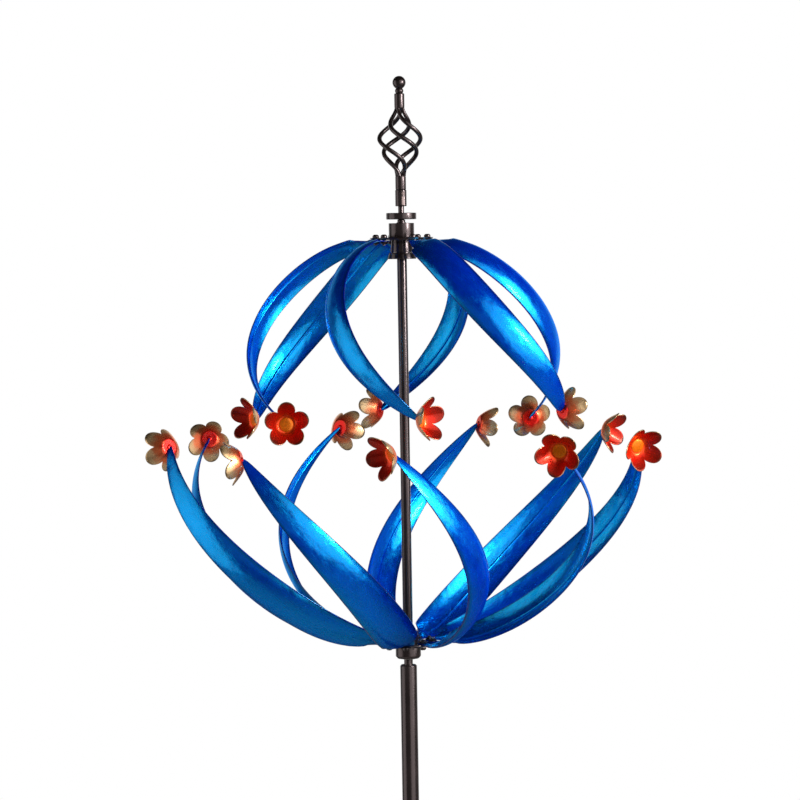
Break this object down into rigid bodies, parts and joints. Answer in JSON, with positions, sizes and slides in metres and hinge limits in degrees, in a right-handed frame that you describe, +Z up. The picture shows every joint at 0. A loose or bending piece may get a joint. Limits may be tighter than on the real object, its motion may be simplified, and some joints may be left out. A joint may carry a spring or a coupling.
{
  "type": "kinetic wind sculpture",
  "caption": "Staked garden wind spinner: rotors of curved blue metal leaves, each tipped with a small red flower, counter-turn on one upright shaft below a twisted cage finial.",
  "frame": {"origin": "on the shaft's axis at ground level, at the middle of the step plate's flat underside", "axes": "+Z up along the shaft, -Y towards the viewer of the reference view, +X to that viewer's right"},
  "size_m": [0.6089, 0.5994, 2.1346],
  "materials": {
    "dark_bronze": "satin powder coat",
    "zinc_steel": "plated",
    "candy_blue": "glossy translucent lacquer over brushed sheet",
    "red_copper": "glossy red lacquer fading to copper at the petal ends"
  },
  "bodies": {
    "stand": {"step_plate": "dark_bronze", "ground_prong_1": "dark_bronze", "ground_prong_2": "dark_bronze", "ground_prong_3": "dark_bronze", "pole_socket": "dark_bronze", "socket_screw": "zinc_steel", "lower_pole": "dark_bronze", "pole_joiner": "zinc_steel", "middle_pole": "dark_bronze", "shaft_bushing": "zinc_steel", "shaft_screw": "zinc_steel", "main_shaft": "dark_bronze", "upper_stop_collar": "dark_bronze", "collar_screw": "zinc_steel", "lower_retaining_ring": "zinc_steel", "retaining_disc": "dark_bronze", "finial_ferrule": "dark_bronze", "finial_cage": "dark_bronze", "finial_collar": "dark_bronze", "finial_ball": "dark_bronze", "upper_bearing_inner_ring": "zinc_steel", "upper_bearing_cage": "zinc_steel", "lower_bearing_inner_ring": "zinc_steel", "lower_bearing_cage": "zinc_steel"},
    "upper_rotor": {"upper_hub": "dark_bronze", "upper_flange": "dark_bronze", "upper_bearing_outer_ring": "zinc_steel", "upper_leaf_1": "candy_blue", "upper_leaf_2": "candy_blue", "upper_leaf_3": "candy_blue", "upper_leaf_4": "candy_blue", "upper_leaf_5": "candy_blue", "upper_leaf_6": "candy_blue", "upper_flower_1": "red_copper", "upper_flower_2": "red_copper", "upper_flower_3": "red_copper", "upper_flower_4": "red_copper", "upper_flower_5": "red_copper", "upper_flower_6": "red_copper"},
    "lower_rotor": {"lower_hub": "dark_bronze", "lower_flange": "dark_bronze", "lower_bearing_outer_ring": "zinc_steel", "lower_leaf_1": "candy_blue", "lower_leaf_2": "candy_blue", "lower_leaf_3": "candy_blue", "lower_leaf_4": "candy_blue", "lower_leaf_5": "candy_blue", "lower_leaf_6": "candy_blue", "lower_leaf_7": "candy_blue", "lower_leaf_8": "candy_blue", "lower_leaf_9": "candy_blue", "lower_flower_1": "red_copper", "lower_flower_2": "red_copper", "lower_flower_3": "red_copper", "lower_flower_4": "red_copper", "lower_flower_5": "red_copper", "lower_flower_6": "red_copper", "lower_flower_7": "red_copper", "lower_flower_8": "red_copper", "lower_flower_9": "red_copper"}
  },
  "joints": [
    {"name": "upper_spin", "type": "hinge", "parent": "stand", "child": "upper_rotor", "pos_m": [0, 0, 1.711], "axis": [0, 0, 1], "continuous": true},
    {"name": "lower_spin", "type": "hinge", "parent": "stand", "child": "lower_rotor", "pos_m": [0, 0, 1.2295], "axis": [0, 0, 1], "continuous": true}
  ]
}
